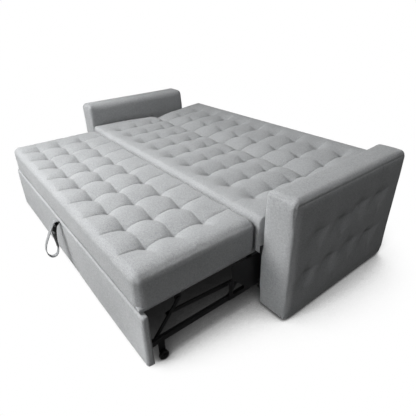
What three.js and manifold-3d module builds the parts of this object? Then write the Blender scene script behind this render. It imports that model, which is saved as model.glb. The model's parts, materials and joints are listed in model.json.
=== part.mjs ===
// Sleeper sofa with a pull-out bed, opened flat.
// Millimetres, +Z up, +X across the sofa, +Y towards its back.
// Sizes are measured from the arms' front faces (Y zero), the middle of the width (X zero)
// and the floor (Z zero). The outer group then centres the whole sofa in Y.
import * as THREE from "three";
import { mergeVertices } from "three/addons/utils/BufferGeometryUtils.js";
import Module from "manifold-3d";

const wasm = await Module();
wasm.setup();

// Clearances
const seat = 0.3; // between pieces that touch
const running = 0.8; // between flat pieces that move past each other
const pinPlay = 0.3; // round a pin in its hole
const overrun = 5; // how far a cutter reaches past the piece it cuts

// Whole sofa
const overallWidth = 2192;
const armThickness = 171;
const armLength = 862;
const armTop = 636;
const armBottom = 12;
const armFoam = 28;
const boardThickness = 15;
const innerFace = overallWidth / 2 - armThickness;
const round = 34; // soft upholstered edges
const armRound = 34;
const armFoot = 40; // the rounding on the arm's inner edges
const slimRound = 6;

// Seat slab and folding back
const slabGap = 10; // between a slab and an arm
const slabHalf = innerFace - slabGap;
const slabUnderside = 307;
const seatFront = -1;
const seatRear = 533.5;
const seatTop = 491;
const seatRailHeight = 38;
const seatRailWidth = 40;
const seatBoardThickness = 9;
const wrap = 3; // how far the fabric and wadding stand out from the wood
const slabJoint = 3;
const backFront = seatRear + slabJoint;
const backRear = 1045;
const backUnderside = 320;
const backBoardThickness = 18;
const backTop = 494;
const backRise = 20; // how much higher the back's far end lies
const backPivotZ = 474;
const rearBoardSetBack = 4;
const rearBoardRear = armLength - rearBoardSetBack;
const rearBoardThickness = 16;
const rearBoardBottom = 30;

// Pull-out bed
const bedGap = 32; // between the bed and an arm
const bedHalf = innerFace - bedGap;
const panelFront = -616;
const bedSetBack = 6; // from the panel's front to the cushion's
const bedFront = panelFront + bedSetBack;
const bedRear = seatFront - slabJoint;
const bedTop = 473;
const bedBoardThickness = 18;
const bedBoardSetBack = 37;
const panelGap = 5; // between the front panel's end and an arm's inner face
const panelHalf = innerFace - panelGap;
const panelPad = 15.7;
const panelBoard = 12;
const panelBottom = 30;
const panelTop = 304;

// Trundle frame and lifting links
const railGap = 27; // between a rail and an arm
const railOuter = innerFace - railGap;
const railWidth = 15;
const railHeight = 25;
const railBottom = 109;
const railRear = 202;
const tubeWall = 1.5;
const sidePlate = 3;
const linkThickness = 6;
const linkLength = 200;
const linkAngle = (49.5 * Math.PI) / 180;
const linkWidth = 15;
const tieShare = 0.6; // where along a link the tie bar is pinned
const pivotZ = 118;
const frontPivotInset = 58;
const frontPivotY = panelFront + frontPivotInset;
const rearPivotY = -160;
const pinRadius = 5;
const pinSides = 14;
const earThickness = 4;
const earHalf = 16;
const runnerHeight = 12;
const crossTubeY = 100;

// Wheels
const wheelRadius = 22.5;
const wheelWidth = 16;
const wheelInset = 84;
const wheelY = panelFront + wheelInset;
const axleRadius = 4;
const rollerRadius = 17.2;
const rollerWidth = 13;
const rollerInset = 20;
const rollerY = railRear - rollerInset;
const wheelSides = 28;

// Materials
function finish(color, roughness, metalness) {
  return new THREE.MeshStandardMaterial({ color, roughness, metalness });
}
const fabric = finish(0xa6abb0, 0.95, 0);
const webbing = finish(0x6f757c, 0.9, 0);
const plywood = finish(0xb08d5e, 0.8, 0);
const darkBoard = finish(0x1b1b1c, 0.85, 0);
const blackSteel = finish(0x141415, 0.45, 0.6);
const blackPlastic = finish(0x1a1a1b, 0.55, 0);

// Solids
const overlapTolerance = 0.001;
const capShares = [0.2, 0.4, 0.6, 0.8]; // where a strip's round end has its corners

function toSolid(geometry) {
  const bare = geometry.clone();
  bare.deleteAttribute("normal");
  bare.deleteAttribute("uv");
  const merged = mergeVertices(bare, overlapTolerance);
  return new wasm.Manifold(
    new wasm.Mesh({
      numProp: 3,
      vertProperties: merged.attributes.position.array,
      triVerts: new Uint32Array(merged.index.array),
    }),
  );
}

function toGeometry(solid) {
  const mesh = solid.getMesh();
  const geometry = new THREE.BufferGeometry();
  geometry.setAttribute("position", new THREE.BufferAttribute(mesh.vertProperties, 3));
  geometry.setIndex(new THREE.BufferAttribute(mesh.triVerts, 1));
  const flat = geometry.toNonIndexed();
  flat.computeVertexNormals();
  return flat;
}

function join(...geometries) {
  return toGeometry(geometries.map(toSolid).reduce((a, b) => a.add(b)));
}

function cut(geometry, ...cutters) {
  return toGeometry(cutters.map(toSolid).reduce((a, b) => a.subtract(b), toSolid(geometry)));
}

// A box between two corners
function block([x0, x1], [y0, y1], [z0, z1]) {
  const geometry = new THREE.BoxGeometry(x1 - x0, y1 - y0, z1 - z0);
  return geometry.translate((x0 + x1) / 2, (y0 + y1) / 2, (z0 + z1) / 2);
}

// A round bar along X
function bar(radius, [x0, x1], y, z, sides = pinSides) {
  const geometry = new THREE.CylinderGeometry(radius, radius, x1 - x0, sides);
  return geometry.rotateZ(Math.PI / 2).translate((x0 + x1) / 2, y, z);
}

// An outline in Y and Z given a thickness along X
function sheet(shape, [x0, x1], curveSegments = 6) {
  const geometry = new THREE.ExtrudeGeometry(shape, {
    depth: x1 - x0,
    bevelEnabled: false,
    curveSegments,
  });
  return geometry
    .rotateX(Math.PI / 2)
    .rotateZ(Math.PI / 2)
    .translate(x0, 0, 0);
}

// A flat strip with round ends along a run of points
function strip(points, widths) {
  const halves = points.map((_, i) => widths[i] / 2);
  const left = [];
  const right = [];
  points.forEach((point, i) => {
    const before = points[Math.max(i - 1, 0)];
    const after = points[Math.min(i + 1, points.length - 1)];
    const along = after.clone().sub(before).normalize();
    const side = new THREE.Vector2(-along.y, along.x).multiplyScalar(halves[i]);
    left.push(point.clone().add(side));
    right.unshift(point.clone().sub(side));
  });
  const endCap = (centre, from) => {
    const start = from.clone().sub(centre).angle();
    const half = from.distanceTo(centre);
    return capShares.map((share) => {
      const angle = start - Math.PI * share;
      return new THREE.Vector2(Math.cos(angle), Math.sin(angle)).multiplyScalar(half).add(centre);
    });
  };
  const tail = endCap(points[points.length - 1], left[left.length - 1]);
  const head = endCap(points[0], right[right.length - 1]);
  return new THREE.Shape([...left, ...tail, ...right, ...head]);
}

// A ring about X with a closed section in axial and radial sizes
function ring([inner, outer], [x0, x1], y, z, corner) {
  const profile = [
    [inner, x0],
    [outer - corner, x0],
    [outer, x0 + corner],
    [outer, x1 - corner],
    [outer - corner, x1],
    [inner, x1],
    [inner, x0],
  ].map(([r, a]) => new THREE.Vector2(r, a));
  const geometry = new THREE.LatheGeometry(profile, wheelSides);
  return geometry.rotateZ(-Math.PI / 2).translate(0, y, z);
}

// Stuffed shapes
const edgeShares = [0, 0.3, 1];
const cushionSteps = 3;
const centreShare = 0.001;
const levelShares = [0.7, 0.4]; // how high the two drawn-in rings of a side lie
const footShare = 0.3;

// Grid lines over one side of a slab: its rounded edges, and steps between the seams
function gridLines(length, edge, seams, steps) {
  const stops = [edge, ...seams, length - edge];
  const lines = edgeShares.slice(0, -1).map((share) => edge * share);
  stops.slice(0, -1).forEach((stop, i) => {
    const inner = i > 0 && i < stops.length - 2;
    const parts = inner ? steps : steps - 1;
    for (let k = 0; k < parts; k++) lines.push(stop + ((stops[i + 1] - stop) * k) / parts);
  });
  lines.push(length - edge);
  [...edgeShares].reverse().slice(1).forEach((share) => lines.push(length - edge * share));
  return lines;
}

// How strongly the nearest seam pulls the surface down, from 0 to 1
function pull(at, seams, reach) {
  return Math.max(0, ...seams.map((seam) => Math.exp(-(((at - seam) / reach) ** 2))));
}

// A stuffed slab lying on its back: crowned and tufted on top, drawn in at its sides, flat below
function stuffedSlab(form) {
  const { length, depth, thickness, edge, foot, drawnIn, crown, rise } = form;
  const across = gridLines(length, edge, form.columns, form.steps[0]);
  const along = gridLines(depth, edge, form.rows, form.steps[1]);
  const vertices = [];
  const faces = [];
  const put = (x, y, z) => vertices.push([x, y, z]) - 1;
  const top = across.map((u) =>
    along.map((v) => {
      const columnPull = pull(u, form.columns, form.reach);
      const rowPull = pull(v, form.rows, form.reach);
      const intoU = Math.max(0, edge - u, u - (length - edge));
      const intoV = Math.max(0, edge - v, v - (depth - edge));
      const into = Math.hypot(intoU, intoV);
      const held = Math.min(1, edge / Math.max(into, edge * centreShare));
      const moveU = intoU * (1 - held) * (u < length / 2 ? 1 : -1);
      const moveV = intoV * (1 - held) * (v < depth / 2 ? 1 : -1);
      const drop = edge - Math.sqrt(Math.max(0, edge ** 2 - (into * held) ** 2));
      const fade = 1 - drop / edge;
      const bow = crown * Math.sin((Math.PI * u) / length) * Math.sin((Math.PI * v) / depth);
      const seam = form.seamDepth * Math.max(columnPull, rowPull);
      const seamDrop = seam + form.tuftDepth * columnPull * rowPull;
      const lift = rise * (v / depth);
      return put(u + moveU, v + moveV, thickness - drop + lift + fade * (bow - crown - seamDrop));
    }),
  );
  const last = [across.length - 1, along.length - 1];
  for (let i = 0; i < last[0]; i++)
    for (let j = 0; j < last[1]; j++) {
      faces.push([top[i][j], top[i + 1][j], top[i + 1][j + 1]]);
      faces.push([top[i][j], top[i + 1][j + 1], top[i][j + 1]]);
    }
  const border = [];
  for (let i = 0; i < last[0]; i++) border.push(top[i][0]);
  for (let j = 0; j < last[1]; j++) border.push(top[last[0]][j]);
  for (let i = last[0]; i > 0; i--) border.push(top[i][last[1]]);
  for (let j = last[1]; j > 0; j--) border.push(top[0][j]);
  const rings = [
    [drawnIn, levelShares[0]],
    [drawnIn, levelShares[1]],
    [0, foot / thickness],
    [foot * footShare, (foot * footShare) / thickness],
    [foot, 0],
  ];
  let above = border;
  rings.forEach(([inset, level]) => {
    const here = border.map((index) => {
      const [x, y, z] = vertices[index];
      const nx = x - ((x - length / 2) / (length / 2)) * inset;
      const ny = y - ((y - depth / 2) / (depth / 2)) * inset;
      const height = level < levelShares[1] ? level * thickness : level * z;
      return put(nx, ny, height);
    });
    here.forEach((index, i) => {
      const next = (i + 1) % here.length;
      faces.push([above[i], index, here[next]]);
      faces.push([above[i], here[next], above[next]]);
    });
    above = here;
  });
  const middle = put(length / 2, depth / 2, 0);
  above.forEach((index, i) => faces.push([middle, above[(i + 1) % above.length], index]));
  const geometry = new THREE.BufferGeometry();
  geometry.setAttribute("position", new THREE.Float32BufferAttribute(vertices.flat(), 3));
  geometry.setIndex(faces.flat());
  const flat = geometry.toNonIndexed();
  flat.computeVertexNormals();
  return flat;
}

// Tufting
const columnCount = 9;
const columnPitchShare = 0.19672; // of half the slab's width
const columnPitch = columnPitchShare * slabHalf;
const bedRowShares = [0.231, 0.462, 0.718];
const seatRowShares = [0.279, 0.539, 0.803];
const backRowShares = [0.341, 0.685];
const seamReach = 34;
const seamDepth = 11;
const tuftDepth = 6;
const cushionCrown = 4;
const drawnSide = 5;

function columnsFrom(half) {
  const first = half - ((columnCount - 1) / 2) * columnPitch;
  return Array.from({ length: columnCount }, (_, i) => first + i * columnPitch);
}

// One of the three mattress cushions, from its front and rear edges, its underside and its top
function cushion(half, [front, rear], [low, high], rowShares, rise) {
  const form = {
    length: 2 * half,
    depth: rear - front,
    thickness: high - low,
    edge: round,
    foot: slimRound,
    drawnIn: drawnSide,
    crown: cushionCrown,
    rise,
    columns: columnsFrom(half),
    rows: rowShares.map((share) => share * (rear - front)),
    steps: [cushionSteps, cushionSteps + 1],
    reach: seamReach,
    seamDepth,
    tuftDepth,
  };
  return stuffedSlab(form).translate(-half, front, low);
}

// The scene graph
const sofa = new THREE.Group();
const centred = new THREE.Group();
sofa.add(centred);

function add(parent, name, geometry, material) {
  const mesh = new THREE.Mesh(geometry, material);
  mesh.name = name;
  parent.add(mesh);
}

// Arms
const armTuftColumnShares = [0.21, 0.4, 0.585, 0.775];
const armTuftRowShares = [0.34, 0.68];
const armSeamDepth = 3;
const armCrown = 2;
const armTuftDepth = 6;
const armTuftReach = 46;
const glideRadius = 22;
const glideTaper = 3;
const glideInset = 80;
const glideSides = 24;

function armCover() {
  const height = armTop - armBottom;
  const form = {
    length: armLength,
    depth: height,
    thickness: armThickness,
    edge: armRound,
    foot: armFoot,
    drawnIn: 0,
    crown: armCrown,
    rise: 0,
    columns: armTuftColumnShares.map((share) => share * armLength),
    rows: armTuftRowShares.map((share) => share * height),
    steps: [cushionSteps, cushionSteps],
    reach: armTuftReach,
    seamDepth: armSeamDepth,
    tuftDepth: armTuftDepth,
  };
  // The slab's length turns to lie along Y, its depth stands along Z and its tufted face looks out
  const turned = stuffedSlab(form).applyMatrix4(
    new THREE.Matrix4().makeBasis(
      new THREE.Vector3(0, 1, 0),
      new THREE.Vector3(0, 0, 1),
      new THREE.Vector3(1, 0, 0),
    ),
  );
  const shell = turned.translate(innerFace, 0, armBottom);
  const pocket = block(
    [innerFace + armFoam, innerFace + armThickness - armFoam],
    [armFoam, armLength - armFoam],
    [armBottom - overrun, armTop - armFoam],
  );
  return cut(shell, pocket);
}

function addArm(parent, side) {
  const left = innerFace + armFoam + seat;
  const right = innerFace + armThickness - armFoam - seat;
  const along = [armFoam + seat, armLength - armFoam - seat];
  const ceiling = armTop - armFoam - seat;
  const floor = armBottom + wrap;
  const sideHeights = [floor + boardThickness + seat, ceiling - boardThickness - seat];
  add(parent, `${side}_arm_cover`, armCover(), fabric);
  const inner = block([left, left + boardThickness], along, sideHeights);
  add(parent, `${side}_arm_inner_board`, inner, plywood);
  const outer = block([right - boardThickness, right], along, sideHeights);
  add(parent, `${side}_arm_outer_board`, outer, plywood);
  const top = block([left, right], along, [ceiling - boardThickness, ceiling]);
  add(parent, `${side}_arm_top_board`, top, plywood);
  const bottom = block([left, right], along, [floor, floor + boardThickness]);
  add(parent, `${side}_arm_bottom_board`, bottom, darkBoard);
  const middle = innerFace + armThickness / 2;
  addGlide(parent, `${side}_front_glide`, middle, glideInset, floor);
  addGlide(parent, `${side}_rear_glide`, middle, armLength - glideInset, floor);
}

function addGlide(parent, name, x, y, floor) {
  const height = floor - seat;
  const foot = glideRadius - glideTaper;
  const geometry = new THREE.CylinderGeometry(glideRadius, foot, height, glideSides);
  add(parent, name, geometry.rotateX(Math.PI / 2).translate(x, y, height / 2), blackPlastic);
}

// Seat slab
function addSeat(parent) {
  const railTop = slabUnderside + seatRailHeight;
  const railZ = [slabUnderside, railTop];
  const railEnd = innerFace - seat;
  const front = [seatFront + wrap, seatFront + wrap + seatRailWidth];
  const rear = [seatRear - wrap - seatRailWidth, seatRear - wrap];
  const boardZ = [railTop + seat, railTop + seat + seatBoardThickness];
  const boardHalf = slabHalf - wrap;
  add(parent, "seat_front_rail", block([-railEnd, railEnd], front, railZ), plywood);
  add(parent, "seat_rear_rail", block([-railEnd, railEnd], rear, railZ), plywood);
  const between = [front[1] + seat, rear[0] - seat];
  const leftRail = block([-boardHalf, seatRailWidth - boardHalf], between, railZ);
  add(parent, "left_seat_side_rail", leftRail, plywood);
  const rightRail = block([boardHalf - seatRailWidth, boardHalf], between, railZ);
  add(parent, "right_seat_side_rail", rightRail, plywood);
  add(parent, "seat_board", block([-boardHalf, boardHalf], [front[0], rear[1]], boardZ), plywood);
  const pad = [boardZ[1] + seat, seatTop];
  add(parent, "seat_cushion", cushion(slabHalf, [seatFront, seatRear], pad, seatRowShares, 0), fabric);
}

// The low board across the back of the base, which also carries the back when it lies flat
function addRearBoard(parent) {
  const y = [rearBoardRear - rearBoardThickness, rearBoardRear];
  const x = [seat - innerFace, innerFace - seat];
  add(parent, "base_rear_board", block(x, y, [rearBoardBottom, backUnderside - seat]), darkBoard);
}

// Folding back and its hinges
const hingePlate = 3;
const hingeRadius = 9;
const hingeStrap = 18;
const hingeFoot = 40; // from the pivot forwards to the fixed plate's edge
const hingeArmShares = [0.5, 1]; // where the moving arm's bend and end lie along its reach
const hingeReach = 115;
const hingePinRadius = 3.5;
const fixedPlateX = [slabHalf + seat, slabHalf + seat + hingePlate];
const movingPlateX = [fixedPlateX[1] + seat, fixedPlateX[1] + seat + hingePlate];

function addBack(parent) {
  const boardHalf = fixedPlateX[0] - seat;
  const boardZ = [backUnderside, backUnderside + backBoardThickness];
  const boardY = [backFront + wrap, backRear - wrap];
  add(parent, "back_board", block([-boardHalf, boardHalf], boardY, boardZ), plywood);
  const pad = [boardZ[1] + seat, backTop];
  const slab = cushion(slabHalf, [backFront, backRear], pad, backRowShares, backRise);
  add(parent, "back_cushion", slab, fabric);
}

function addHinge(parent, side) {
  const pivotY = (seatRear + backFront) / 2;
  const across = [fixedPlateX[0] - overrun, movingPlateX[1] + overrun];
  const hole = bar(hingePinRadius + pinPlay, across, pivotY, backPivotZ);
  const footZ = slabUnderside + seatRailHeight + seat;
  const fixedOutline = new THREE.Shape();
  fixedOutline.moveTo(pivotY - hingeFoot, footZ);
  fixedOutline.lineTo(pivotY, footZ);
  fixedOutline.lineTo(pivotY + hingeRadius, backPivotZ);
  fixedOutline.absarc(pivotY, backPivotZ, hingeRadius, 0, Math.PI, false);
  fixedOutline.lineTo(pivotY - hingeFoot, footZ);
  const fixed = cut(sheet(fixedOutline, fixedPlateX), hole);
  add(parent, `${side}_hinge_fixed_plate`, fixed, blackSteel);
  const endZ = backUnderside + backBoardThickness / 2 + hingeStrap / 2;
  const fall = endZ - backPivotZ;
  const arm = hingeArmShares.map(
    (share) => new THREE.Vector2(pivotY + hingeReach * share, backPivotZ + fall * share),
  );
  const corners = [new THREE.Vector2(pivotY, backPivotZ), ...arm];
  const outline = strip(corners, corners.map(() => hingeStrap));
  const foot = block(
    [fixedPlateX[0], movingPlateX[1]],
    [pivotY + hingeReach - hingeStrap / 2, pivotY + hingeReach + hingeStrap],
    [backUnderside, backUnderside + hingeStrap],
  );
  const moving = cut(join(sheet(outline, movingPlateX), foot), hole);
  add(parent, `${side}_hinge_moving_plate`, moving, blackSteel);
  const pin = bar(hingePinRadius, [fixedPlateX[0], innerFace - seat], pivotY, backPivotZ);
  add(parent, `${side}_hinge_pin`, pin, blackSteel);
}

// Guide channels on the arms' inner faces
const channelSteel = 2.5;
const channelDepth = 20;
const channelPlay = 0.3;
const channelFront = 3;
const rollerZ = railBottom + railHeight / 2;

function addGuideChannel(parent, side) {
  const web = innerFace - seat;
  const inner = rollerRadius + channelPlay;
  const y = [channelFront, rearBoardRear - rearBoardThickness - seat];
  const z = [rollerZ - inner - channelSteel, rollerZ + inner + channelSteel];
  const outside = block([web - channelDepth, web], y, z);
  const inside = block(
    [web - channelDepth - overrun, web - channelSteel],
    [y[0] - overrun, y[1] + overrun],
    [rollerZ - inner, rollerZ + inner],
  );
  add(parent, `${side}_guide_channel`, cut(outside, inside), blackSteel);
}

// Front panel
const panelRound = 5;
const panelCorner = 8;
const panelRoundSteps = 3;
const panelCornerSteps = 3;
const panelRear = panelFront + panelPad + seat + panelBoard;

function roundedOutline([x0, x1], [z0, z1], radius) {
  const outline = new THREE.Shape();
  outline.moveTo(x0 + radius, z0);
  outline.lineTo(x1 - radius, z0);
  outline.absarc(x1 - radius, z0 + radius, radius, -Math.PI / 2, 0, false);
  outline.lineTo(x1, z1 - radius);
  outline.absarc(x1 - radius, z1 - radius, radius, 0, Math.PI / 2, false);
  outline.lineTo(x0 + radius, z1);
  outline.absarc(x0 + radius, z1 - radius, radius, Math.PI / 2, Math.PI, false);
  outline.lineTo(x0, z0 + radius);
  outline.absarc(x0 + radius, z0 + radius, radius, Math.PI, 1.5 * Math.PI, false);
  return outline;
}

function addPanel(parent) {
  const x = [-panelHalf, panelHalf];
  const z = [panelBottom, panelTop];
  const padded = new THREE.ExtrudeGeometry(roundedOutline(x, z, panelCorner), {
    depth: panelPad,
    bevelSize: panelRound,
    bevelThickness: panelRound,
    bevelOffset: -panelRound,
    bevelSegments: panelRoundSteps,
    curveSegments: panelCornerSteps,
  });
  // The bevel is kept on the front face alone: the rear one is cut off flat
  const rear = panelFront + panelPad;
  const standing = padded.rotateX(Math.PI / 2).translate(0, rear + panelRound, 0);
  const beyond = rear + panelPad + overrun;
  const widths = [x[0] - overrun, x[1] + overrun];
  const waste = block(widths, [rear, beyond], [z[0] - overrun, z[1] + overrun]);
  add(parent, "front_panel_cover", cut(standing, waste), fabric);
  const y = [rear + seat, panelRear];
  const board = block([x[0] + wrap, x[1] - wrap], y, [z[0] + wrap, z[1] - wrap]);
  add(parent, "front_panel_board", board, darkBoard);
}

// Trundle frame
const railX = [railOuter - railWidth, railOuter];
const railFront = panelRear + seat;
const linkX = [railX[0] - running - linkThickness, railX[0] - running];
const earX = [linkX[0] - running - earThickness, linkX[0] - running];
const tieX = [earX[0] - running - linkThickness, earX[0] - running];

function hollowBar(x, y, z, openAlong) {
  const shrink = ([low, high]) => [low + tubeWall, high - tubeWall];
  const reach = ([low, high]) => [low - overrun, high + overrun];
  const inner = [x, y, z].map((span, axis) => (axis === openAlong ? reach(span) : shrink(span)));
  return cut(block(x, y, z), block(...inner));
}

function addRail(parent, side) {
  const z = [railBottom, railBottom + railHeight];
  const tube = hollowBar(railX, [railFront, railRear], z, 1);
  const across = [railX[0] - overrun, railX[1] + overrun];
  const holes = [frontPivotY, rearPivotY].map((y) => bar(pinRadius + pinPlay, across, y, pivotZ));
  const rollerHole = bar(axleRadius + pinPlay, across, rollerY, rollerZ);
  add(parent, `${side}_lower_rail`, cut(tube, ...holes, rollerHole), blackSteel);
}

function addCrossTube(parent) {
  const half = railX[0] - seat;
  const z = [railBottom, railBottom + railHeight];
  const tube = hollowBar([-half, half], [crossTubeY, crossTubeY + railHeight], z, 0);
  add(parent, "rear_cross_tube", tube, blackSteel);
}

// The upright plate at the side: a post, an open corner below it, and the roller's stub axle
const plateStart = 12; // how far the plate starts in front of the rear pivot
const plateFront = rearPivotY - plateStart;
const postWidth = 25;
const plateStep = 14;
const plateShoulder = 218;
const plateTop = 302;
const windowFoot = 45; // how far the open corner runs back along the rail

function addSidePlate(parent, side) {
  const x = [railX[1] + seat, railX[1] + seat + sidePlate];
  const railTop = railBottom + railHeight;
  const outline = new THREE.Shape();
  outline.moveTo(plateFront, railBottom);
  outline.lineTo(railRear, railBottom);
  outline.lineTo(railRear, railTop + railHeight);
  outline.lineTo(crossTubeY, plateTop);
  outline.lineTo(plateFront + plateStep, plateTop);
  outline.lineTo(plateFront + plateStep, plateShoulder);
  outline.lineTo(plateFront, plateShoulder);
  const gap = new THREE.Path();
  const post = plateFront + postWidth;
  gap.moveTo(post, railTop);
  gap.lineTo(post, plateShoulder);
  gap.lineTo(post + windowFoot + railHeight, railTop + railHeight / 2);
  gap.lineTo(post + windowFoot + railHeight, railTop);
  outline.holes.push(gap);
  const stub = bar(axleRadius, [railX[0] - running, innerFace - channelSteel - wrap], rollerY, rollerZ);
  add(parent, `${side}_side_plate`, join(sheet(outline, x), stub), blackSteel);
}

// The angle that bolts a rail to the front panel
const bracketSteel = 3;
const bracketDrop = 45;
const bracketReach = 27;
const bracketWidth = 42;

function addPanelBracket(parent, side) {
  const y0 = railFront;
  const z1 = railBottom - seat;
  const outline = new THREE.Shape();
  outline.moveTo(y0, z1 - bracketDrop);
  outline.lineTo(y0 + bracketSteel, z1 - bracketDrop);
  outline.lineTo(y0 + bracketSteel, z1 - bracketSteel);
  outline.lineTo(y0 + bracketReach, z1 - bracketSteel);
  outline.lineTo(y0 + bracketReach, z1);
  outline.lineTo(y0, z1);
  const x = [railX[1] - bracketWidth, railX[1]];
  add(parent, `${side}_panel_bracket`, sheet(outline, x), blackSteel);
}

// Casters under the front of the rails
const casterLegWidth = 31;
const casterLegSteel = 3;
const casterLegFoot = 10;
const hubCap = 9;
const wheelCorner = 3;
const rollerCorner = 1.2;
const casterInner = railX[0] + casterLegSteel + running;
const casterX = [casterInner, casterInner + wheelWidth];

function addCaster(parent, side) {
  const half = casterLegWidth / 2;
  const foot = wheelRadius - casterLegFoot;
  const outline = new THREE.Shape();
  outline.moveTo(wheelY - half, railBottom - seat);
  outline.lineTo(wheelY - half, wheelRadius);
  outline.lineTo(wheelY - half / 2, foot);
  outline.lineTo(wheelY + half / 2, foot);
  outline.lineTo(wheelY + half, wheelRadius);
  outline.lineTo(wheelY + half, railBottom - seat);
  const legX = [railX[0], railX[0] + casterLegSteel];
  const hole = bar(axleRadius + pinPlay, [legX[0] - overrun, legX[1] + overrun], wheelY, wheelRadius);
  add(parent, `${side}_caster_leg`, cut(sheet(outline, legX), hole), blackSteel);
  const axleEnd = casterX[1] + running + sidePlate;
  const cap = bar(hubCap, [casterX[1] + running, axleEnd], wheelY, wheelRadius, wheelSides);
  const pin = bar(axleRadius, [legX[0] - sidePlate, axleEnd], wheelY, wheelRadius);
  add(parent, `${side}_caster_axle`, join(pin, cap), blackSteel);
  const tread = [axleRadius + pinPlay, wheelRadius];
  const wheel = ring(tread, casterX, wheelY, wheelRadius, wheelCorner);
  add(parent, `${side}_caster_wheel`, wheel, blackPlastic);
}

function addRearRoller(parent, side) {
  const end = innerFace - channelSteel - wrap - running;
  const tread = [axleRadius + pinPlay, rollerRadius];
  const roller = ring(tread, [end - rollerWidth, end], rollerY, rollerZ, rollerCorner);
  add(parent, `${side}_rear_roller`, roller, blackPlastic);
}

// Lifting links, drawn raised: each carries its three pins
const tieBarWidth = 23;
const tieEndWidth = 17;
const tieKneeY = -130;
const tieKneeZ = 180;
const linkReach = [Math.cos(linkAngle) * linkLength, Math.sin(linkAngle) * linkLength];

function alongLink(pivotY, share) {
  return new THREE.Vector2(pivotY + linkReach[0] * share, pivotZ + linkReach[1] * share);
}

function addLink(parent, name, pivotY) {
  const foot = alongLink(pivotY, 0);
  const tie = alongLink(pivotY, tieShare);
  const head = alongLink(pivotY, 1);
  const flat = sheet(strip([foot, head], [linkWidth, linkWidth]), linkX);
  const middle = (linkX[0] + linkX[1]) / 2;
  const footPin = bar(pinRadius, [middle, railX[1] - tubeWall - seat], foot.x, foot.y);
  const tiePin = bar(pinRadius, [tieX[0] - tubeWall, middle], tie.x, tie.y);
  const headPin = bar(pinRadius, [earX[0], middle], head.x, head.y);
  add(parent, name, join(flat, footPin, tiePin, headPin), blackSteel);
}

function addTieBar(parent, side) {
  const front = alongLink(frontPivotY, tieShare);
  const rear = alongLink(rearPivotY, tieShare);
  const knee = new THREE.Vector2(tieKneeY, tieKneeZ);
  const flat = sheet(strip([front, knee, rear], [tieEndWidth, tieBarWidth, tieEndWidth]), tieX);
  const across = [tieX[0] - overrun, tieX[1] + overrun];
  const holes = [front, rear].map((at) => bar(pinRadius + pinPlay, across, at.x, at.y));
  add(parent, `${side}_tie_bar`, cut(flat, ...holes), blackSteel);
}

// Raised deck
function addDeckRunner(parent, side) {
  const top = slabUnderside - seat;
  const heads = [frontPivotY, rearPivotY].map((y) => alongLink(y, 1));
  const outline = new THREE.Shape();
  const start = heads[0].x - earHalf;
  const end = heads[1].x + earHalf;
  outline.moveTo(start, top);
  outline.lineTo(start, heads[0].y);
  outline.absarc(heads[0].x, heads[0].y, earHalf, Math.PI, 2 * Math.PI, false);
  outline.lineTo(heads[0].x + earHalf, top - runnerHeight);
  outline.lineTo(heads[1].x - earHalf, top - runnerHeight);
  outline.lineTo(heads[1].x - earHalf, heads[1].y);
  outline.absarc(heads[1].x, heads[1].y, earHalf, Math.PI, 2 * Math.PI, false);
  outline.lineTo(end, top);
  const across = [earX[0] - overrun, earX[1] + overrun];
  const holes = heads.map((at) => bar(pinRadius + pinPlay, across, at.x, at.y));
  add(parent, `${side}_deck_runner`, cut(sheet(outline, earX), ...holes), blackSteel);
}

function addDeck(parent) {
  const boardZ = [slabUnderside, slabUnderside + bedBoardThickness];
  const boardHalf = bedHalf - wrap;
  const boardY = [bedFront + bedBoardSetBack, bedRear - wrap];
  add(parent, "deck_board", block([-boardHalf, boardHalf], boardY, boardZ), darkBoard);
  const pad = [boardZ[1] + seat, bedTop];
  add(parent, "pull_out_cushion", cushion(bedHalf, [bedFront, bedRear], pad, bedRowShares, 0), fabric);
}

// Pull strap: a webbing loop sewn in above the front panel, hanging in a teardrop
const strapWidth = 28;
const strapThickness = 4;
const strapDrop = 209;
const strapBelly = 106;
const strapSteps = 52;
const strapLoopShares = [
  [0, 0.968],
  [0.07, 0.936],
  [0.205, 0.886],
  [0.31, 0.78],
  [0.36, 0.622],
  [0.37, 0.455],
  [0.37, 0.263],
  [0.43, 0.11],
  [0.548, 0.02],
  [0.715, 0],
  [0.87, 0.038],
  [0.98, 0.148],
  [0.99, 0.292],
  [0.9, 0.445],
  [0.735, 0.603],
  [0.54, 0.77],
  [0.4, 0.89],
  [0.27, 0.986],
  [0.085, 0.996],
];

function addStrap(parent) {
  const front = panelFront - seat;
  const near = strapThickness / 2;
  const bottom = panelTop - strapDrop;
  const belly = strapBelly - strapThickness;
  const points = strapLoopShares.map(
    ([out, up]) => new THREE.Vector3(front - near - out * belly, bottom + up * strapDrop, 0),
  );
  const line = new THREE.CatmullRomCurve3(points, true).getPoints(strapSteps);
  line.pop();
  const outer = line.map((p) => new THREE.Vector2(p.x, p.y));
  const centreline = outer.map((p, i) => {
    const before = outer[(i + outer.length - 1) % outer.length];
    const after = outer[(i + 1) % outer.length];
    const along = after.clone().sub(before).normalize();
    return [p, new THREE.Vector2(-along.y, along.x).multiplyScalar(strapThickness / 2)];
  });
  const shape = new THREE.Shape(centreline.map(([p, side]) => p.clone().add(side)));
  shape.holes.push(new THREE.Path(centreline.map(([p, side]) => p.clone().sub(side)).reverse()));
  add(parent, "pull_strap", sheet(shape, [-strapWidth / 2, strapWidth / 2]), webbing);
}

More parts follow.
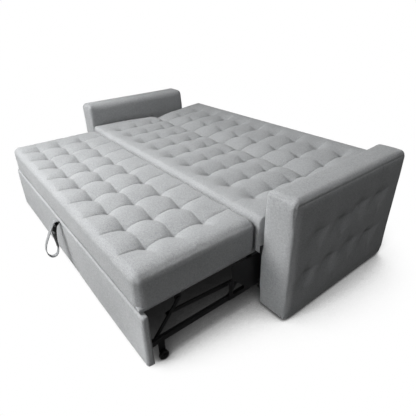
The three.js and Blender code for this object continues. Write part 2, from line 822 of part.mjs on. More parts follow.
// Assembly: what comes in pairs is drawn once on the right, and mirrored for the left
addSeat(centred);
addRearBoard(centred);
addBack(centred);
addPanel(centred);
addCrossTube(centred);
addDeck(centred);
addStrap(centred);
for (const [side, sign] of [["left", -1], ["right", 1]]) {
  const half = new THREE.Group();
  half.scale.x = sign;
  centred.add(half);
  addArm(half, side);
  addHinge(half, side);
  addGuideChannel(half, side);
  addRail(half, side);
  addSidePlate(half, side);
  addPanelBracket(half, side);
  addCaster(half, side);
  addRearRoller(half, side);
  addLink(half, `${side}_front_link`, frontPivotY);
  addLink(half, `${side}_rear_link`, rearPivotY);
  addTieBar(half, side);
  addDeckRunner(half, side);
}

// The origin is under the middle of the whole sofa, strap included
sofa.updateMatrixWorld(true);
const extent = new THREE.Box3().setFromObject(centred, true);
centred.position.y = -(extent.min.y + extent.max.y) / 2;

export default sofa;
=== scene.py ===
"""Looks of the sleeper sofa with a pull-out bed, opened flat.

Metres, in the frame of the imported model: the origin is on the floor under the middle of the sofa,
X runs across it towards the arm nearest the camera, Y towards the back, Z up.
"""

import json
import math

import bpy
import numpy as np
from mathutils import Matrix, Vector


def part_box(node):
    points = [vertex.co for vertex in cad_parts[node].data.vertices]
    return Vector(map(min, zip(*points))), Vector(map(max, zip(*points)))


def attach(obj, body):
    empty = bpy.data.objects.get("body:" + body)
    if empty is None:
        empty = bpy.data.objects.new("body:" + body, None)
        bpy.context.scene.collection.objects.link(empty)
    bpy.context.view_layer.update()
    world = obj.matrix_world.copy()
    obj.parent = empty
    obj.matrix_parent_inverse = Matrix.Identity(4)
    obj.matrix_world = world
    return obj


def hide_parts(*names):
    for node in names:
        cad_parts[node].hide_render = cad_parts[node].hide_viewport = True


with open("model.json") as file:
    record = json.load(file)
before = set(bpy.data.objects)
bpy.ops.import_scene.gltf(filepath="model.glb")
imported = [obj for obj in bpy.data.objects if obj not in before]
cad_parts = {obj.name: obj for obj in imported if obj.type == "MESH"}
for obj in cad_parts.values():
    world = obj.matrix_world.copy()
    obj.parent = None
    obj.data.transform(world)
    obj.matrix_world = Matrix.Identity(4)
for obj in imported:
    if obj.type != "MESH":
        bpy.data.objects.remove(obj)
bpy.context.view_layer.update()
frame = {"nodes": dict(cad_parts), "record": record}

# The arms' front, from which the distances along Y are taken
ARM_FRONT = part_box("right_arm_cover")[0].y

# Start of the random draws
SEED = 20


# Stitched rows and columns

COLUMN_PITCH = 0.180
COLUMNS = [COLUMN_PITCH * (k - 4) for k in range(9)]


def from_arm(*distances):
    return [ARM_FRONT + d for d in distances]


BED_ROWS = from_arm(-0.470, -0.330, -0.175)
SEAT_ROWS = from_arm(0.148, 0.287, 0.428)
BACK_ROWS = from_arm(0.710, 0.885)


# Covers: closed boxes of quads with rounded edges

TURN_LINES = 6
RIM_GAP = 0.0005
LINING_STEP = 0.0004


def spaced(low, high, edges, marks, shares, plain_step):
    """Grid lines from low to high: turning over each rounded edge, and close together at each mark."""
    turns = np.tan(np.linspace(math.pi / 4, 0, TURN_LINES))[:-1]
    first = [low + edges[0] * (1 - t) for t in turns]
    last = [high - edges[1] * (1 - t) for t in turns[::-1]]
    inner = [m for m in marks if low + edges[0] < m < high - edges[1]]
    stops = [low + edges[0]] + inner + [high - edges[1]]
    lines = []
    for a, b in zip(stops[:-1], stops[1:]):
        count = max(2, round((b - a) / plain_step))
        steps = set(np.arange(count) / count)
        near = [s / (b - a) for s in shares if s < 0.45 * (b - a)]
        if a in marks and near:
            steps = {s for s in steps if s == 0 or s > near[-1] * 1.3} | set(near)
        if b in marks and near:
            steps = {s for s in steps if s < 1 - near[-1] * 1.3} | {1 - s for s in near}
        lines += [a + (b - a) * s for s in sorted(steps | {0.0})]
    return np.array(first + lines + [high - edges[1]] + last)


def with_lines(lines, extra, apart):
    """The grid lines with the extra ones in place of any that lie too close to them."""
    kept = [v for v in lines[1:-1] if min(abs(v - e) for e in extra) > apart]
    return np.array(sorted([lines[0], lines[-1]] + kept + list(extra)))


def over_edge(radius):
    """Grid lines that turn over a rounded edge, from where the rounding starts."""
    return radius * np.tan(np.linspace(0, math.pi / 4, TURN_LINES))[1:]


def lattice(xs, ys, zs):
    """Corner indices and quads of a box's surface, on the grid lines xs, ys and zs."""
    nx, ny, nz = len(xs) - 1, len(ys) - 1, len(zs) - 1
    index = {}
    corners = []

    def at(i, j, k):
        key = (i, j, k)
        if key not in index:
            index[key] = len(corners)
            corners.append(key)
        return index[key]

    quads = []
    for i in range(nx):
        for j in range(ny):
            quads.append((at(i, j, nz), at(i + 1, j, nz), at(i + 1, j + 1, nz), at(i, j + 1, nz)))
            quads.append((at(i, j, 0), at(i, j + 1, 0), at(i + 1, j + 1, 0), at(i + 1, j, 0)))
    for k in range(nz):
        for i in range(nx):
            quads.append((at(i, 0, k), at(i + 1, 0, k), at(i + 1, 0, k + 1), at(i, 0, k + 1)))
            quads.append((at(i, ny, k), at(i, ny, k + 1), at(i + 1, ny, k + 1), at(i + 1, ny, k)))
        for j in range(ny):
            quads.append((at(0, j, k), at(0, j, k + 1), at(0, j + 1, k + 1), at(0, j + 1, k)))
            quads.append((at(nx, j, k), at(nx, j + 1, k), at(nx, j + 1, k + 1), at(nx, j, k + 1)))
    return np.array(corners), quads


def rounded_cover(lines, edges, under, wrap):
    """Points, quads and facings of a cover on the grid lines. edges holds the radii at its low and high
    sides. Its rim reaches inwards by wrap, and the lining inside the rim lies at the height under."""
    corners, quads = lattice(*lines)
    last = [len(line) - 1 for line in lines]
    flat = np.stack([lines[a][corners[:, a]] for a in range(3)], 1)
    low = np.array([line[0] for line in lines])
    high = np.array([line[-1] for line in lines])
    below = corners[:, 2] == 0
    edges = edges(flat) if callable(edges) else edges
    core = np.clip(flat, low + edges[0], high - edges[1])
    away = flat - core
    share = away / np.where(away < 0, edges[0], edges[1])
    reach = np.abs(share).max(1)
    size = np.maximum(np.linalg.norm(share, axis=1), 1e-9)
    facing = share / size[:, None]
    points = core + away * (reach / size)[:, None]
    inward = [np.minimum(corners[:, axis], last[axis] - corners[:, axis]) for axis in (0, 1)]
    ring = np.minimum(*inward)
    for axis in (0, 1):
        line = lines[axis]
        span = (flat[:, axis] - line[2]) / (line[-3] - line[2])
        apart = LINING_STEP * np.clip(inward[axis] - 1, 0, 1)
        side = np.where(span < 0.5, 1, -1)
        tucked = low[axis] + wrap + (high[axis] - low[axis] - 2 * wrap) * np.clip(span, 0, 1) + side * apart
        points[:, axis] = np.where(below & (ring > 0), tucked, points[:, axis])
    points[:, 2] = np.where(below & (ring > 1), under, np.where(below & (ring > 0), low[2], points[:, 2]))
    facing[below] = 0
    return points, quads, flat, facing, corners


def new_piece(name, points, quads, finish):
    mesh = bpy.data.meshes.new(name)
    mesh.from_pydata([tuple(p) for p in points], [], quads)
    mesh.polygons.foreach_set("use_smooth", [True] * len(mesh.polygons))
    piece = bpy.data.objects.new(name, mesh)
    bpy.context.scene.collection.objects.link(piece)
    for m in finish if isinstance(finish, (list, tuple)) else [finish]:
        mesh.materials.append(m)
    return piece


def points_of(mesh):
    flat = np.empty(len(mesh.vertices) * 3)
    mesh.vertices.foreach_get("co", flat)
    return flat.reshape(-1, 3)


# Filling: a cloth that is blown up on its stitches

STITCH_HOLDS = (0.5, 1.0)
CLOTH_FRAMES = 20
CLOTH_PRESSURE = 4.0
STRETCH_STIFFNESS = 40
SHEAR_STIFFNESS = 15
BENDING_STIFFNESS = 1.5
CLOTH_QUALITY = 5


def swell(piece, held, fullness, most):
    """Blows the cover up on its stitches, as its filling does, and keeps the shape it takes. held is how
    firmly each point is stitched, fullness the spare cloth, and most the furthest that a point moves."""
    before = points_of(piece.data)
    stitched = piece.vertex_groups.new(name="stitched")
    for hold in STITCH_HOLDS:
        stitched.add(np.flatnonzero(held == hold).tolist(), hold, "REPLACE")
    cloth = piece.modifiers.new("swell", "CLOTH")
    cloth.point_cache.frame_start = 1
    cloth.point_cache.frame_end = CLOTH_FRAMES
    cloth.collision_settings.use_collision = False
    settings = cloth.settings
    settings.vertex_group_mass = "stitched"
    settings.effector_weights.gravity = 0
    settings.use_pressure = True
    settings.uniform_pressure_force = CLOTH_PRESSURE
    settings.tension_stiffness = STRETCH_STIFFNESS
    settings.compression_stiffness = STRETCH_STIFFNESS
    settings.shear_stiffness = SHEAR_STIFFNESS
    settings.bending_stiffness = BENDING_STIFFNESS
    settings.shrink_min = -fullness
    settings.quality = CLOTH_QUALITY
    scene = bpy.context.scene
    graph = bpy.context.evaluated_depsgraph_get()
    for number in range(1, CLOTH_FRAMES + 1):
        scene.frame_set(number)
    after = points_of(piece.evaluated_get(graph).data)
    piece.modifiers.remove(cloth)
    piece.vertex_groups.remove(stitched)
    scene.frame_set(1)
    moved = after - before
    far = np.linalg.norm(moved, axis=1)
    held_back = most * np.tanh(far / most) / np.maximum(far, 1e-9)
    piece.data.vertices.foreach_set("co", (before + moved * held_back[:, None]).ravel())
    piece.data.update()


# Tufting


def nearest(values, marks):
    """Distance to the nearest mark and its number."""
    gaps = np.abs(np.asarray(values)[:, None] - np.asarray(marks)[None, :])
    number = gaps.argmin(1)
    return gaps[np.arange(len(values)), number], number


def eased(value, low, high):
    t = np.clip((value - low) / (high - low), 0, 1)
    return t * t * (3 - 2 * t)


def groove(distance, depth, width):
    return depth * np.exp(-((distance / width) ** 2))


def tufted(x, y, rows, form, ends, seed):
    """How far the stitches and buttons pull the cover down at each point, from the top of the puffs."""
    rng = np.random.default_rng(seed)
    side, column = nearest(x, COLUMNS)
    along, row = nearest(y, rows)
    slack = 1 + form["uneven"] * rng.uniform(-1, 1, (len(COLUMNS), len(rows)))
    here = slack[column, row]
    half = COLUMN_PITCH / 2
    dome = (1 - np.minimum(side / half, 1)) ** form["round"]
    fade = eased(y, ends[0], ends[1]) * eased(y, ends[3], ends[2])
    seam = form["seam"] * np.exp(-side / form["seam_reach"])
    at_button = np.exp(-((side / form["spread"]) ** 2))
    valley = form["valley"] * np.exp(-along / form["valley_reach"])
    valley = valley * (form["valley_far"] + (1 - form["valley_far"]) * at_button)
    inside = eased(np.abs(x), COLUMNS[-1] + half, COLUMNS[-1])
    button = form["button"] * np.exp(-np.hypot(side, along) / form["button_reach"])
    seam = seam * fade ** form["seam_fade"]
    return form["dome"] * dome * here * fade + seam + (valley * here + button) * inside


# The three cushions' forms. fades says where the tufting starts and ends, from the front and the rear,
# edges the radii at the ends, front, rear, top and rim, belly how far front and rear swell, and slope how
# far the top rises to the rear at the left and how much further at the right.
BED_FORM = dict(
    dome=0.008, round=1.5, uneven=0.12, seam=0.0045, seam_reach=0.0045, seam_fade=0.4, end_seam=0.002,
    valley=0.012, valley_reach=0.026, valley_far=0.35, spread=0.055, button=0.015, button_reach=0.015,
    fades=(-0.01, 0.115, -0.06, -0.002), edges=(0.052, 0.036, 0.030, 0.038, 0.006),
    belly=(0, 0.012), slope=(0, 0), fullness=0.010, most=0.005)
SEAT_FORM = dict(
    dome=0.015, round=1.7, uneven=0.12, seam=0.004, seam_reach=0.006, seam_fade=1, end_seam=0.001,
    valley=0.005, valley_reach=0.026, valley_far=0.15, spread=0.04, button=0.015, button_reach=0.013,
    fades=(0.06, 0.13, -0.02, 0.02), edges=(0.014, 0.019, 0.022, 0.026, 0.006),
    belly=(0.007, 0), slope=(0, 0), fullness=0.006, most=0.0028)
BACK_FORM = dict(
    dome=0.013, round=1.7, uneven=0.12, seam=0.004, seam_reach=0.006, seam_fade=1, end_seam=0.001,
    valley=0.006, valley_reach=0.030, valley_far=0.15, spread=0.04, button=0.016, button_reach=0.014,
    fades=(-0.02, 0.02, -0.14, -0.05), edges=(0.030, 0.012, 0.034, 0.030, 0.006),
    belly=(0, 0), slope=(0.02, 0.015), fullness=0.006, most=0.0028)
SLAB_LINES = [0.0035, 0.008, 0.014, 0.022, 0.033]
SLAB_STEP = 0.014
SLAB_SIDE_LINES = 9
SLAB_WRAP = 0.0025
END_SEAM_WIDTH = 0.003
SAG_REACH = 0.115
BELLY_REACH = 0.12
BUTTON_SIZE = 0.006
SEAM_HELD = 0.0005


def tufted_slab(name, node, board, rows, form, lowered, sag, seed):
    """One mattress cushion. lowered is how far its top falls along Y, and sag how far its two ends sink."""
    low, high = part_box(node)
    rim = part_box(board)[0].z + RIM_GAP
    across, fore, aft, crown, foot = form["edges"]
    left_rise, right_rise = form["slope"]
    top = high.z - left_rise
    shoulder = top - crown
    xs = spaced(low.x, high.x, (across, across), COLUMNS, SLAB_LINES, SLAB_STEP)
    ys = spaced(low.y, high.y, (fore, aft), rows, SLAB_LINES, SLAB_STEP)
    sides = np.linspace(rim + foot, shoulder, SLAB_SIDE_LINES)
    zs = np.concatenate([[rim, rim + foot * 0.35], sides, shoulder + over_edge(crown)])
    radii = np.array([[across, fore, foot], [across, aft, crown]])
    points, quads, flat, facing, corners = rounded_cover([xs, ys, zs], radii, low.z, SLAB_WRAP)
    x, y, z = flat.T
    upward = np.clip(facing[:, 2], 0, 1)
    starts, full, waning, stops = form["fades"]
    ends = (low.y + starts, low.y + full, high.y + waning, high.y + stops)
    depth = tufted(x, y, rows, form, ends, seed) + lowered(y)
    share = np.clip((points[:, 2] - low.z) / (top - low.z), 0, 1)
    rise = left_rise + right_rise * (x - low.x) / (high.x - low.x)
    points[:, 2] += rise * (points[:, 1] - low.y) / (high.y - low.y) * share - depth * upward
    from_corner = np.maximum(np.minimum(x - low.x, high.x - x), np.minimum(y - low.y, top - z))
    on_end = (np.abs(facing[:, 0]) > 0.05) & (corners[:, 2] > 0)
    sunk = np.where(on_end, groove(from_corner, form["end_seam"], END_SEAM_WIDTH), 0)
    points -= facing * sunk[:, None]
    end_share = np.clip((np.abs(x) - high.x + SAG_REACH) / SAG_REACH, 0, 1) ** 2
    points[:, 2] -= sag(y) * end_share * np.clip((points[:, 2] - rim) / (top - rim), 0, 1)
    level_share = np.sin(np.pi * np.clip((z - rim) / (top - rim), 0, 1)) ** 0.4
    front_belly, rear_belly = form["belly"]
    reach = np.where(facing[:, 1] < 0, front_belly, rear_belly) * eased(high.x - np.abs(x), 0, BELLY_REACH)
    points[:, 1] += facing[:, 1] * reach * level_share
    piece = new_piece(name, points, quads, GREY)
    side, _ = nearest(x, COLUMNS)
    along, _ = nearest(y, rows)
    held = np.where((upward > 0.5) & (np.hypot(side, along) < BUTTON_SIZE), 1.0, 0.0)
    held = np.where((upward < 0.9) & (held == 0), 0.5, held)
    held = np.where((corners[:, 2] <= 2) | (sunk > SEAM_HELD), 1.0, held)
    swell(piece, held, form["fullness"], form["most"])
    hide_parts(node)
    return piece


# Materials


def make_material(name):
    material = bpy.data.materials.new(name)
    material.use_nodes = True
    return material, material.node_tree.nodes, material.node_tree.links


def weave_group():
    group = bpy.data.node_groups.new("heathered_weave", "ShaderNodeTree")
    face = group.interface
    face.new_socket("Thread", in_out="INPUT", socket_type="NodeSocketFloat").default_value = 0.0016
    face.new_socket("Fleck", in_out="OUTPUT", socket_type="NodeSocketFloat")
    face.new_socket("Height", in_out="OUTPUT", socket_type="NodeSocketFloat")
    nodes, links = group.nodes, group.links
    inlet, outlet = nodes.new("NodeGroupInput"), nodes.new("NodeGroupOutput")
    where = nodes.new("ShaderNodeTexCoord")
    turns = nodes.new("ShaderNodeMath")
    turns.operation = "DIVIDE"
    turns.inputs[0].default_value = 2 * math.pi
    links.new(inlet.outputs["Thread"], turns.inputs[1])
    scaled = nodes.new("ShaderNodeVectorMath")
    scaled.operation = "SCALE"
    links.new(where.outputs["Object"], scaled.inputs[0])
    links.new(turns.outputs[0], scaled.inputs["Scale"])
    wave = nodes.new("ShaderNodeVectorMath")
    wave.operation = "SINE"
    links.new(scaled.outputs[0], wave.inputs[0])
    apart = nodes.new("ShaderNodeSeparateXYZ")
    links.new(wave.outputs[0], apart.inputs[0])
    products = []
    for a, b in ((0, 1), (1, 2), (2, 0)):
        crossing = nodes.new("ShaderNodeMath")
        crossing.operation = "MULTIPLY"
        links.new(apart.outputs[a], crossing.inputs[0])
        links.new(apart.outputs[b], crossing.inputs[1])
        products.append(crossing)
    total = products[0]
    for other in products[1:]:
        plus = nodes.new("ShaderNodeMath")
        plus.operation = "ADD"
        links.new(total.outputs[0], plus.inputs[0])
        links.new(other.outputs[0], plus.inputs[1])
        total = plus
    flecks = []
    for stretch in ((1, 0.22, 1), (0.22, 1, 0.3)):
        mapping = nodes.new("ShaderNodeMapping")
        mapping.inputs["Scale"].default_value = stretch
        links.new(where.outputs["Object"], mapping.inputs["Vector"])
        noise = nodes.new("ShaderNodeTexNoise")
        noise.inputs["Scale"].default_value = 420
        noise.inputs["Detail"].default_value = 3
        noise.inputs["Roughness"].default_value = 0.65
        links.new(mapping.outputs[0], noise.inputs["Vector"])
        flecks.append(noise)
    mixed = nodes.new("ShaderNodeMath")
    mixed.operation = "ADD"
    links.new(flecks[0].outputs[0], mixed.inputs[0])
    links.new(flecks[1].outputs[0], mixed.inputs[1])
    fleck = nodes.new("ShaderNodeMapRange")
    fleck.inputs["From Min"].default_value = 0.7
    fleck.inputs["From Max"].default_value = 1.3
    links.new(mixed.outputs[0], fleck.inputs["Value"])
    links.new(fleck.outputs[0], outlet.inputs["Fleck"])
    rough = nodes.new("ShaderNodeMath")
    rough.operation = "MULTIPLY_ADD"
    rough.inputs[1].default_value = 0.25
    links.new(total.outputs[0], rough.inputs[0])
    links.new(fleck.outputs[0], rough.inputs[2])
    links.new(rough.outputs[0], outlet.inputs["Height"])
    return group


WEAVE = weave_group()


def two_tones(nodes, dark, dark_until, pale, pale_from):
    ramp = nodes.new("ShaderNodeValToRGB")
    first, last = ramp.color_ramp.elements
    first.position = dark_until
    first.color = (*dark, 1)
    last.position = pale_from
    last.color = (*pale, 1)
    return ramp


def upholstery(name, dark, pale):
    """Heathered woven upholstery between two greys."""
    material, nodes, links = make_material(name)
    shader = nodes["Principled BSDF"]
    weave = nodes.new("ShaderNodeGroup")
    weave.node_tree = WEAVE
    where = nodes.new("ShaderNodeTexCoord")
    patch = nodes.new("ShaderNodeTexNoise")
    patch.inputs["Scale"].default_value = 7
    patch.inputs["Detail"].default_value = 4
    links.new(where.outputs["Object"], patch.inputs["Vector"])
    grain = nodes.new("ShaderNodeTexNoise")
    grain.inputs["Scale"].default_value = 150
    grain.inputs["Detail"].default_value = 2
    links.new(where.outputs["Object"], grain.inputs["Vector"])
    blend = nodes.new("ShaderNodeMath")
    blend.operation = "MULTIPLY_ADD"
    blend.inputs[1].default_value = 0.5
    links.new(grain.outputs[0], blend.inputs[0])
    links.new(weave.outputs["Fleck"], blend.inputs[2])
    spread = nodes.new("ShaderNodeMath")
    spread.operation = "MULTIPLY_ADD"
    spread.inputs[1].default_value = 0.4
    links.new(patch.outputs[0], spread.inputs[0])
    links.new(blend.outputs[0], spread.inputs[2])
    tone = nodes.new("ShaderNodeMath")
    tone.operation = "MULTIPLY"
    tone.inputs[1].default_value = 0.6
    links.new(spread.outputs[0], tone.inputs[0])
    ramp = two_tones(nodes, dark, 0.25, pale, 0.9)
    links.new(tone.outputs[0], ramp.inputs[0])
    links.new(ramp.outputs[0], shader.inputs["Base Color"])
    shader.inputs["Roughness"].default_value = 0.95
    shader.inputs["Specular IOR Level"].default_value = 0.2
    shader.inputs["Sheen Weight"].default_value = 0.15
    shader.inputs["Sheen Roughness"].default_value = 0.5
    bump = nodes.new("ShaderNodeBump")
    bump.inputs["Strength"].default_value = 0.5
    bump.inputs["Distance"].default_value = 0.0006
    links.new(weave.outputs["Height"], bump.inputs["Height"])
    links.new(bump.outputs[0], shader.inputs["Normal"])
    return material


def hard_finish(name, dark, pale, roughness, grain_scale, grain_depth, metallic=0.0):
    """A hard surface whose colour and roughness wander between two values, with a fine grain."""
    material, nodes, links = make_material(name)
    shader = nodes["Principled BSDF"]
    where = nodes.new("ShaderNodeTexCoord")
    noise = nodes.new("ShaderNodeTexNoise")
    noise.inputs["Scale"].default_value = 18
    noise.inputs["Detail"].default_value = 6
    links.new(where.outputs["Object"], noise.inputs["Vector"])
    ramp = two_tones(nodes, dark, 0.35, pale, 0.7)
    links.new(noise.outputs[0], ramp.inputs[0])
    links.new(ramp.outputs[0], shader.inputs["Base Color"])
    rough = nodes.new("ShaderNodeMapRange")
    rough.inputs["To Min"].default_value = roughness[0]
    rough.inputs["To Max"].default_value = roughness[1]
    links.new(noise.outputs[0], rough.inputs["Value"])
    links.new(rough.outputs[0], shader.inputs["Roughness"])
    shader.inputs["Metallic"].default_value = metallic
    grain = nodes.new("ShaderNodeTexNoise")
    grain.inputs["Scale"].default_value = grain_scale
    grain.inputs["Detail"].default_value = 3
    links.new(where.outputs["Object"], grain.inputs["Vector"])
    bump = nodes.new("ShaderNodeBump")
    bump.inputs["Strength"].default_value = 0.35
    bump.inputs["Distance"].default_value = grain_depth
    links.new(grain.outputs[0], bump.inputs["Height"])
    links.new(bump.outputs[0], shader.inputs["Normal"])
    return material


GREY = upholstery("grey_upholstery", (0.262, 0.270, 0.277), (0.462, 0.470, 0.477))
STRAP = upholstery("strap_fabric", (0.20, 0.206, 0.212), (0.37, 0.378, 0.386))
# Near-black band inside the strap's rear leg: black webbing, made as dark as the loop's shaded inner side
# looks, so partly painted shade
WEBBING_AND_PAINTED_SHADE = upholstery("strap_webbing_and_painted_shade", (0.004, 0.004, 0.004), (0.02, 0.02, 0.02))
STEEL = hard_finish("black_powder_coat", (0.004, 0.004, 0.0045), (0.008, 0.008, 0.009),
                    (0.45, 0.65), 900, 0.0003)
ZINC = hard_finish("dull_zinc_plate", (0.26, 0.265, 0.27), (0.33, 0.335, 0.34),
                   (0.45, 0.65), 700, 0.0002, 0.2)
PLASTIC = hard_finish("black_nylon", (0.006, 0.006, 0.006), (0.014, 0.014, 0.014), (0.35, 0.6), 300, 0.0002)
PLYWOOD = hard_finish("birch_plywood", (0.42, 0.28, 0.14), (0.55, 0.39, 0.22), (0.6, 0.8), 160, 0.0004)
BLACK_BOARD = hard_finish("black_faced_board", (0.006, 0.006, 0.006), (0.012, 0.012, 0.012),
                          (0.6, 0.8), 500, 0.0002)

FINISHES = {"black_steel": STEEL, "zinc_steel": ZINC, "black_plastic": PLASTIC, "plywood": PLYWOOD,
            "black_board": BLACK_BOARD, "grey_weave": GREY, "pull_webbing": STRAP}
for part in frame["record"]["subparts"]:
    shown = frame["nodes"][part["node"]]
    shown.data.materials.clear()
    shown.data.materials.append(FINISHES[part["material_slot"]])


# The three mattress cushions

seat_low, seat_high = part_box("seat_cushion")
back_low, back_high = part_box("back_cushion")
SEAT_NOSE = 0.046
SEAT_NOSE_DROP = 0.017
SEAT_SAG = 0.022
BACK_CLIMB = 0.150
BACK_FRONT_DROP = 0.024
BACK_SAG = 0.032


def level(y):
    return np.zeros_like(y)


def seat_rear_fall(y):
    """The seat's puffs end in rounded noses before the joint with the back."""
    return SEAT_NOSE_DROP * np.clip((y - seat_high.y + SEAT_NOSE) / SEAT_NOSE, 0, 1) ** 2


def seat_end_sag(y):
    return SEAT_SAG * eased(y, seat_low.y + 0.20, seat_high.y)


def back_front_fall(y):
    """The back starts lower than the seat and climbs gently to its first buttons."""
    return BACK_FRONT_DROP * np.clip((back_low.y + BACK_CLIMB - y) / BACK_CLIMB, 0, 1) ** 1.3


def back_end_sag(y):
    return BACK_SAG * eased(y, back_low.y + 0.46, back_low.y + 0.06)


bed = tufted_slab("bed_cushion", "pull_out_cushion", "deck_board", BED_ROWS, BED_FORM, level, level, SEED)
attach(bed, "deck")

seat = tufted_slab("seat_slab", "seat_cushion", "seat_front_rail", SEAT_ROWS, SEAT_FORM,
                   seat_rear_fall, seat_end_sag, SEED + 1)
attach(seat, "sofa_base")

back = tufted_slab("back_slab", "back_cushion", "back_board", BACK_ROWS, BACK_FORM,
                   back_front_fall, back_end_sag, SEED + 2)
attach(back, "folding_back")


# Arm covers. A tuft's place is its distance behind the arm's front and its height.

ARM_FOAM = 0.0279
ARM_TUFTS = [(0.174, 0.424), (0.349, 0.424), (0.495, 0.448), (0.661, 0.446),
             (0.126, 0.221), (0.298, 0.229), (0.457, 0.244), (0.629, 0.231)]
TUFT_LEVELS = [0.227, 0.437]
TUFT_LINES = [0.006, 0.014, 0.024]
TUFT_SIZE = 0.009
TUFT_DEPTH = 0.022
TUFT_REACH = 0.024
CREASE_DEPTH = 0.019
CREASE_WIDTH = 0.014
CREASE_LENGTH = 0.075
CREASE_TILT = 0.3
FREE_PULL = 0.018
LAST_PULL = 0.007
ARM_CORNER = 0.014
ARM_INNER = 0.048
ARM_INNER_CROWN = 0.040
ARM_SHOULDER = 0.042
ARM_CROWN = 0.030
ARM_FRONT_CROWN = 0.026
ARM_FRONT_EDGE = 0.026
ARM_FRONT_WRAP = 0.045
ARM_REAR_EDGE = 0.032
ARM_FOOT = 0.012
ARM_REAR_CORNER = 0.040
ARM_BULGE = 0.004
TOP_RISE = 0.008
TOP_FALL = 0.007
FRONT_BELLY = 0.009
TOP_SEAM = 0.0165
TOP_SEAM_DEPTH = 0.0030
TOP_SEAM_WIDTH = 0.0025
FRONT_SEAM = 0.012
FRONT_SEAM_DEPTH = 0.0028
FRONT_SEAM_WIDTH = 0.0022
ARM_FULLNESS = 0.005
ARM_MOST = 0.003
ARM_STEP_ACROSS = 0.018
ARM_STEP = 0.016
LINE_GAP = 0.003
SEAM_LINE_GAP = 0.0018


def arm_lines(low, high):
    """Grid lines of an arm's cover, close together at its edges, seams and tufts."""
    tuft_ys = sorted(set(ARM_FRONT + y for y, _ in ARM_TUFTS))
    xs = spaced(low.x, high.x, (ARM_INNER, ARM_SHOULDER), [], [], ARM_STEP_ACROSS)
    xs = with_lines(xs, [high.x - d for d in (0.004, 0.008, FRONT_SEAM, 0.0155)], LINE_GAP)
    xs = with_lines(xs, [low.x + d for d in (0.004, 0.008, 0.012)], LINE_GAP)
    ys = spaced(low.y, high.y, (ARM_FRONT_WRAP, ARM_REAR_EDGE), tuft_ys, TUFT_LINES, ARM_STEP)
    ys = with_lines(ys, [low.y + d for d in (0.004, 0.008, 0.017, 0.026)], LINE_GAP)
    zs = spaced(low.z, high.z, (ARM_FOOT, ARM_INNER_CROWN), TUFT_LEVELS, TUFT_LINES, ARM_STEP)
    zs = with_lines(zs, [high.z - d for d in (0.004, 0.008, FRONT_SEAM, 0.024)], LINE_GAP)
    zs = with_lines(zs, [high.z - TOP_SEAM + d for d in (-0.003, 0, 0.003)], SEAM_LINE_GAP)
    return [xs, ys, zs]


def arm_edges(flat, low, high):
    """Radii at an arm's low and high sides: full and soft along the top behind the front, and crisp
    elsewhere."""
    behind = eased(flat[:, 1], low.y, low.y + 0.06)
    last = eased(flat[:, 1], high.y - 0.15, high.y)
    top = eased(flat[:, 2], high.z - 0.13, high.z - 0.04) * (0.3 + 0.7 * behind) * (1 - 0.5 * last)
    outside = eased(flat[:, 0], low.x + 0.075, low.x + 0.11)
    inner = ARM_CORNER + (ARM_INNER - ARM_CORNER) * top
    outer = ARM_CORNER + (ARM_SHOULDER - ARM_CORNER) * top
    crown = ARM_INNER_CROWN + (ARM_CROWN - ARM_INNER_CROWN) * outside
    crown = ARM_FRONT_CROWN + (crown - ARM_FRONT_CROWN) * behind
    front = ARM_FRONT_EDGE + (ARM_FRONT_WRAP - ARM_FRONT_EDGE) * outside
    same = np.ones(len(flat))
    first = np.stack([inner, front, ARM_FOOT * same], 1)
    return first, np.stack([outer, ARM_REAR_EDGE * same, crown], 1)


def tuft_pull(y, z, seed):
    """How far the tufts and their creases draw the outer side in, short of the board behind the foam."""
    rng = np.random.default_rng(seed)
    pull = np.zeros(len(y))
    for ty, tz in ARM_TUFTS:
        dy, dz = y - (ARM_FRONT + ty), z - tz
        near = np.hypot(dy, dz)
        from_crease = np.abs(dz - CREASE_TILT * dy)
        crease = np.exp(-from_crease / CREASE_WIDTH) * np.exp(-((dy / CREASE_LENGTH) ** 2))
        pull += rng.uniform(0.9, 1.1) * (TUFT_DEPTH * np.exp(-near / TUFT_REACH) + CREASE_DEPTH * crease)
    return np.minimum(pull, FREE_PULL + LAST_PULL * np.tanh(np.maximum(pull - FREE_PULL, 0) / LAST_PULL))


def round_rear_foot(points, low, high):
    """Rounds an arm's lower rear corner."""
    across = (points[:, 1] - (high.y - ARM_REAR_CORNER)) / ARM_REAR_CORNER
    down = (low.z + ARM_REAR_CORNER - points[:, 2]) / ARM_REAR_CORNER
    turning = (across > 0) & (down > 0)
    shrink = np.maximum(across, down) / np.maximum(np.hypot(across, down), 1e-9)
    rounded_y = high.y - ARM_REAR_CORNER + across * shrink * ARM_REAR_CORNER
    rounded_z = low.z + ARM_REAR_CORNER - down * shrink * ARM_REAR_CORNER
    points[:, 1] = np.where(turning, rounded_y, points[:, 1])
    points[:, 2] = np.where(turning, rounded_z, points[:, 2])


